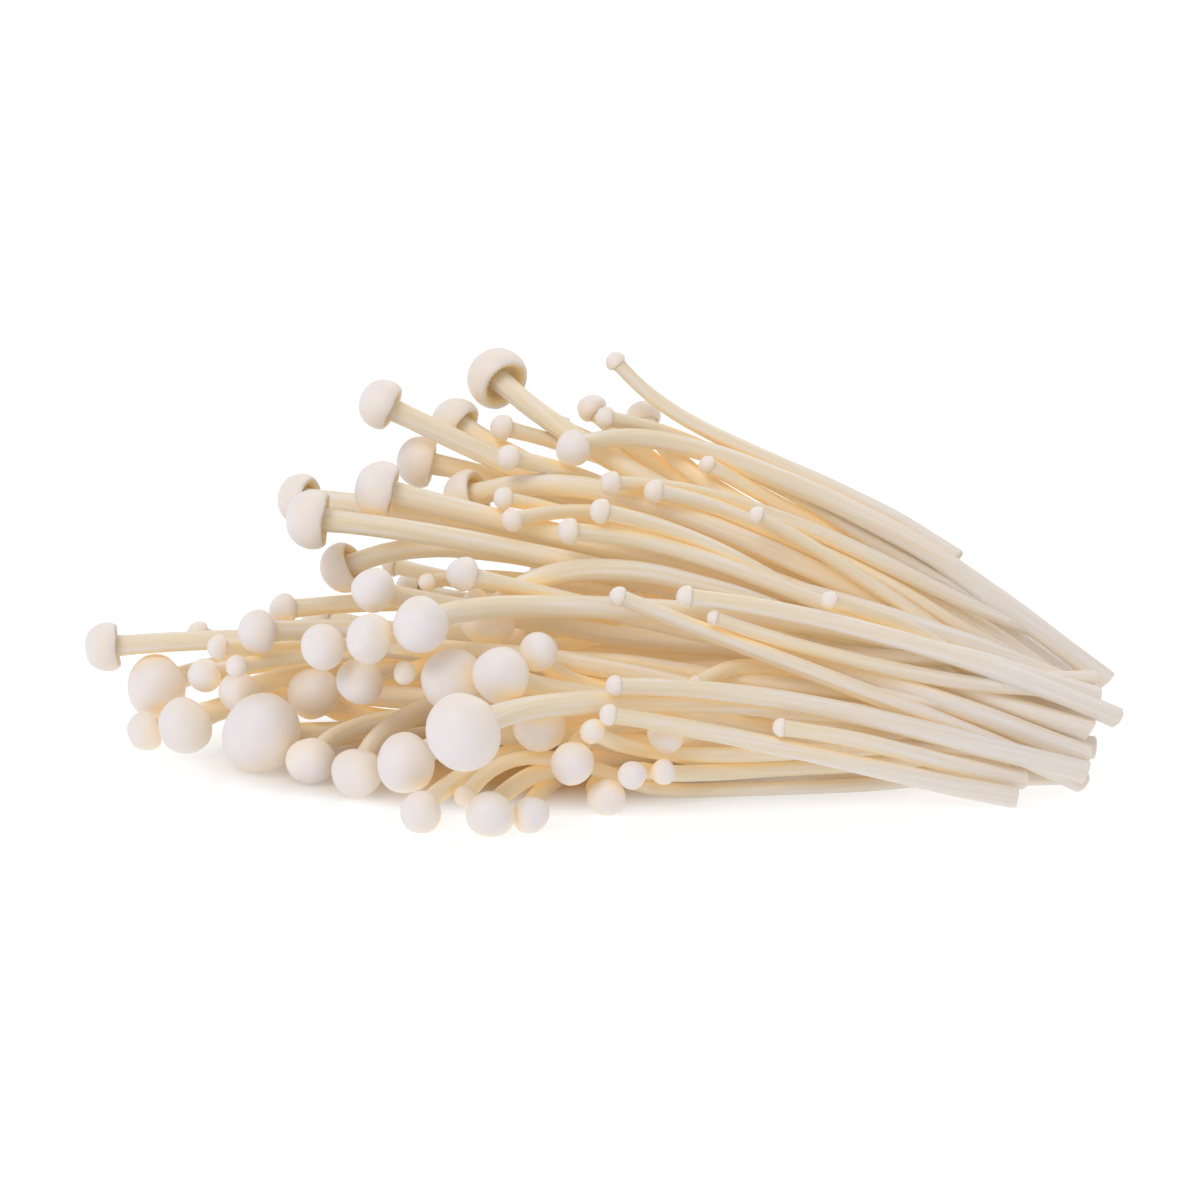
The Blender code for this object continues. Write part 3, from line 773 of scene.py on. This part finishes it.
def gill_finish(colours):
    """The warm, matte underside of a cap: its own cream, deepened to amber as painted shade under
    the cap, and mottled with the painted shade of crevices.
    """
    f = Finish("enoki_gills")
    place = f.place()
    mottle = f.noise(place, 900, 3.0)
    colour = f.mix(f.ramp(mottle, 0.3, 0.7), colours.gill, colours.painted_crevice_shade)
    skin = f.bump(mottle, 0.2, 0.08 * MM)
    return f.shade(
        {"Base Color": colour, "Roughness": 0.6, "Normal": skin, **flesh_light(0.3, 1.2 * MM)}
    )


def pith_finish(colours):
    """The paler, open flesh of a cut foot."""
    f = Finish("enoki_pith")
    place = f.place()
    cells = f.noise(place, 3600, 4.0, 0.7)
    colour = f.mix(f.ramp(cells, 0.35, 0.7), colours.pith, colours.stem_cream)
    skin = f.bump(cells, 0.5, 0.08 * MM)
    return f.shade(
        {"Base Color": colour, "Roughness": 0.62, "Normal": skin, **flesh_light(0.3, 1.5 * MM)}
    )


def finishes(scene):
    """The four finishes in the order of their slots, made once."""
    made = [bpy.data.materials.get("enoki_" + part) for part in ("stem", "cap", "gills", "pith")]
    if None in made:
        colours = scene.enoki_colours
        made = [f(colours) for f in (stem_finish, cap_finish, gill_finish, pith_finish)]
    return made


# ---- stage -----------------------------------------------------------------------------------

PAINTED_SHADOW_OVAL = (12.6, 29, 1)  # scales the floor so that an oval round the bunch has a radius of 1; the floor's emission fades towards the bunch inside it, as a painted shadow
PAINTED_SHADE_OVAL = {"Location": (0.2, 0, 0), "Scale": (19, 36, 1)}  # and so for the painted warm shade under it
LAMPS = (  # name, place, width, share of the key's power, colour
    ("key", (-0.55, -0.65, 1.10), 0.8, 1.0, (0.99, 0.985, 1.0)),
    ("back", (0.35, 0.8, 0.95), 0.9, 0.5, (1.0, 0.99, 0.98)),
)
FILM_WIDTH = 36  # in millimetres, as a camera's own settings are


def lay_floor(stage):
    """A broad, pale, faintly glossy floor just under the bunch, bright from its own emission, with
    a painted shadow where that emission fades round the bunch and a painted warm shade under it.
    """
    shell = bmesh.new()
    bmesh.ops.create_grid(shell, x_segments=2, y_segments=2, size=stage.floor_size / 2)
    mesh = bpy.data.meshes.new("floor")
    shell.to_mesh(mesh)
    shell.free()
    f = Finish("floor_white")
    place = f.place()
    haze = f.noise(place, 8.0, 2.0)
    rough = f.plus(f.times(haze, 0.04), 0.20)
    # Painted shadow: the floor's emission fades towards the bunch.
    away = f.stretched(place, PAINTED_SHADOW_OVAL)
    edge = f.add("VectorMath", {"Vector": away}, operation="LENGTH").outputs["Value"]
    # Painted shade: under the bunch the floor turns warm tan and gives off no light.
    under = f.add("Mapping", {"Vector": place, **PAINTED_SHADE_OVAL}).outputs["Vector"]
    under = f.add("VectorMath", {"Vector": under}, operation="LENGTH").outputs["Value"]
    warm = f.ramp(under, 1.0, 0.5)
    colour = f.mix(warm, stage.floor_colour, stage.floor_painted_shade)
    glow_with_painted_shadow = f.part(edge, 0.15, 0.9, stage.floor_glow)
    glow_with_painted_shadow = f.times(glow_with_painted_shadow, f.maths("SUBTRACT", 1.0, warm))
    painted_glow = {"Emission Color": (1, 1, 1, 1), "Emission Strength": glow_with_painted_shadow}
    mesh.materials.append(
        f.shade({"Base Color": colour, "Roughness": rough, "IOR": 1.33, **painted_glow})
    )
    floor = bpy.data.objects.new("floor", mesh)
    bpy.context.scene.collection.objects.link(floor)
    floor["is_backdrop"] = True


def hang_light(name, place, aim, width, watts, colour):
    """A round, soft lamp turned to its aim."""
    lamp = bpy.data.lights.new(name, "AREA")
    lamp.shape, lamp.size, lamp.energy, lamp.color = "DISK", width, watts, colour
    light = bpy.data.objects.new(name, lamp)
    light.location = place
    light.rotation_euler = (Vector(place) - Vector(aim)).to_track_quat("Z", "Y").to_euler()
    bpy.context.scene.collection.objects.link(light)


def set_stage(stage):
    """The floor, the white all round, the lamps and the camera."""
    scene = bpy.context.scene
    low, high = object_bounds()
    middle = (low + high) / 2
    lay_floor(stage)
    world = bpy.data.worlds.new("studio_white")
    world.use_nodes = True
    sky = world.node_tree.nodes["Background"]
    sky.inputs["Color"].default_value = (*stage.sky_colour, 1)
    sky.inputs["Strength"].default_value = stage.sky_strength
    scene.world = world
    for name, place, width, share, colour in LAMPS:
        hang_light(name, place, middle, width, stage.key_watts * share, colour)
    lens = bpy.data.cameras.new("camera")
    lens.lens, lens.sensor_width = stage.lens, FILM_WIDTH
    lens.clip_start, lens.clip_end = 0.02, 50
    camera = bpy.data.objects.new("camera", lens)
    aim = Vector((middle.x, middle.y, low.z)) + Vector(stage.aim)
    height = stage.camera_angle
    back = Vector((0, -math.cos(height), math.sin(height)))
    camera.location = aim + back * stage.camera_distance
    camera.rotation_euler = back.to_track_quat("Z", "Y").to_euler()
    scene.collection.objects.link(camera)
    scene.camera = camera
    scene.view_settings.view_transform = "Standard"
    scene.view_settings.look = "None"


# ---- the add-on ------------------------------------------------------------------------------


class EnokiShape(PropertyGroup):
    """Sizes and fineness of the mushrooms."""

    stem_sides: IntProperty(
        name="Stem Sides", description="Sides of a full-grown stem", default=24, min=8, max=64
    )
    ring_gap: FloatProperty(
        name="Ring Gap", description="Distance between the rings of a stem",
        default=2.2 * MM, min=0.5 * MM, max=10 * MM, unit="LENGTH",
    )
    cap_steps: IntProperty(
        name="Cap Steps", description="Steps that a cap's outline is spun in, two for each gill",
        default=56, min=16, max=128,
    )
    stem_waver: FloatProperty(
        name="Stem Waver", description="How much a stem's width wavers, as a share of it",
        default=0.05, min=0, max=0.2, subtype="FACTOR",
    )
    cap_waver: FloatProperty(
        name="Cap Waver", description="How uneven a cap is, as a share of its radius",
        default=0.035, min=0, max=0.2, subtype="FACTOR",
    )
    hollow_share: FloatProperty(
        name="Hollow Feet", description="Share of the cut feet that are hollow",
        default=0.35, min=0, max=1, subtype="FACTOR",
    )


def colour(name, description, value):
    """A colour that a user can change."""
    return FloatVectorProperty(
        name=name, description=description, default=value, size=3, min=0, max=1, subtype="COLOR"
    )


class EnokiColours(PropertyGroup):
    """Colours of the flesh, and of the painted shade and painted light in the heap."""

    cap_white: colour("Cap White", "The top of a cap", (0.82, 0.79, 0.83))
    cap_blush: colour("Cap Blush", "The creamier parts of a cap", (0.84, 0.765, 0.69))
    stem_ivory: colour("Stem Ivory", "A stem near its foot", (0.775, 0.735, 0.725))
    stem_cream: colour("Stem Cream", "A stem near its cap", (0.805, 0.71, 0.54))
    fibre: colour("Fibre", "The fine strands along a stem", (0.76, 0.64, 0.46))
    # Painted shade: the colour that flesh deep in the heap is turned to.
    painted_crevice_shade: colour("Crevice", "Flesh deep in the heap", (0.91, 0.70, 0.36))
    # Painted light: the colour and strength of emission that stands in for light coming through
    # the flesh in the heap.
    painted_glow: colour("Glow", "Light that comes through the flesh in the heap", (1.0, 0.79, 0.50))
    painted_glow_strength: FloatProperty(
        name="Glow Strength", description="How strong that light is deep in the heap",
        default=0.17, min=0, max=1,
    )
    # Partly the gills' own cream, partly painted shade under the cap.
    gill: colour("Gill", "The underside of a cap", (0.90, 0.74, 0.48))
    pith: colour("Pith", "The cut end of a foot", (0.80, 0.75, 0.72))


class EnokiStage(PropertyGroup):
    """Floor, light and camera."""

    floor_size: FloatProperty(
        name="Floor Size", description="Width of the floor", default=12.0, unit="LENGTH"
    )
    floor_colour: colour("Floor", "The floor's paint", (0.29, 0.30, 0.31))
    # Painted shade: the floor's colour under the bunch, standing in for its shade and the warm
    # light bounced onto it.
    floor_painted_shade: colour(
        "Under the Bunch", "The floor where only warm light reaches it", (0.75, 0.52, 0.27)
    )
    floor_glow: FloatProperty(
        name="Floor Glow", description="Light from the table itself", default=0.73, min=0
    )
    sky_colour: colour("Sky Colour", "A warm white from all round", (1.0, 0.965, 0.92))
    sky_strength: FloatProperty(
        name="Sky", description="Strength of the white all round", default=0.67, min=0
    )
    key_watts: FloatProperty(
        name="Key Light", description="Power of the large soft lamp", default=5.9, min=0
    )
    aim: FloatVectorProperty(
        name="Aim", description="What the camera looks at, from under the bunch's middle",
        default=(0.99 * MM, -10.4 * MM, 29 * MM), size=3, subtype="TRANSLATION", unit="LENGTH",
    )
    camera_distance: FloatProperty(
        name="Camera Distance", description="From the camera to its aim", default=0.625,
        unit="LENGTH",
    )
    camera_angle: FloatProperty(
        name="Camera Height", description="How far the camera looks down",
        default=math.radians(15), subtype="ANGLE", unit="ROTATION",
    )
    lens: FloatProperty(name="Lens", description="Focal length", default=120, unit="CAMERA")


class ENOKI_OT_high_fan(Operator):
    """Grow the high fan, whose caps stand in the air"""

    bl_idname = "enoki.high_fan"
    bl_label = "Grow High Fan"

    def execute(self, context):
        return grow_fan("high", context)


class ENOKI_OT_low_fan(Operator):
    """Grow the low fan, whose caps lie on the surface and on each other"""

    bl_idname = "enoki.low_fan"
    bl_label = "Grow Low Fan"

    def execute(self, context):
        return grow_fan("low", context)


class ENOKI_OT_side_fan(Operator):
    """Grow the side fan, with the longest stems"""

    bl_idname = "enoki.side_fan"
    bl_label = "Grow Side Fan"

    def execute(self, context):
        return grow_fan("side", context)


class ENOKI_OT_far_side(Operator):
    """Grow the far side of the heap"""

    bl_idname = "enoki.far_side"
    bl_label = "Grow Far Side"

    def execute(self, context):
        return grow_fan("far", context)


class ENOKI_OT_slim(Operator):
    """Grow the slim mushrooms along the near side and on top"""

    bl_idname = "enoki.slim"
    bl_label = "Grow Slim Ones"

    def execute(self, context):
        return grow_fan("slim", context)


class ENOKI_OT_stage(Operator):
    """Lay the floor and set the light and the camera"""

    bl_idname = "enoki.stage"
    bl_label = "Set Stage"

    def execute(self, context):
        set_stage(context.scene.enoki_stage)
        return {"FINISHED"}


OPERATORS = (
    ENOKI_OT_high_fan, ENOKI_OT_low_fan, ENOKI_OT_side_fan, ENOKI_OT_far_side, ENOKI_OT_slim,
    ENOKI_OT_stage,
)
GROUPS = {"enoki_shape": EnokiShape, "enoki_colours": EnokiColours, "enoki_stage": EnokiStage}


class ENOKI_PT_bunch(Panel):
    """Lists the sizes, the colours and the steps"""

    bl_label = "Enoki Bunch"
    bl_idname = "ENOKI_PT_bunch"
    bl_space_type = "VIEW_3D"
    bl_region_type = "UI"
    bl_category = "Enoki"

    def draw(self, context):
        for name, group in GROUPS.items():
            box = self.layout.box()
            for prop in group.__annotations__:
                box.prop(getattr(context.scene, name), prop)
        for operator in OPERATORS:
            self.layout.operator(operator.bl_idname)


def register():
    for kind in (*GROUPS.values(), *OPERATORS, ENOKI_PT_bunch):
        bpy.utils.register_class(kind)
    for name, group in GROUPS.items():
        setattr(bpy.types.Scene, name, PointerProperty(type=group))


def unregister():
    for name in GROUPS:
        delattr(bpy.types.Scene, name)
    for kind in reversed((*GROUPS.values(), *OPERATORS, ENOKI_PT_bunch)):
        bpy.utils.unregister_class(kind)


def main():
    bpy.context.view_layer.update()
    register()
    bpy.ops.enoki.high_fan()
    bpy.ops.enoki.low_fan()
    bpy.ops.enoki.side_fan()
    bpy.ops.enoki.far_side()
    bpy.ops.enoki.slim()
    bpy.ops.enoki.stage()


if __name__ == "__main__":
    main()
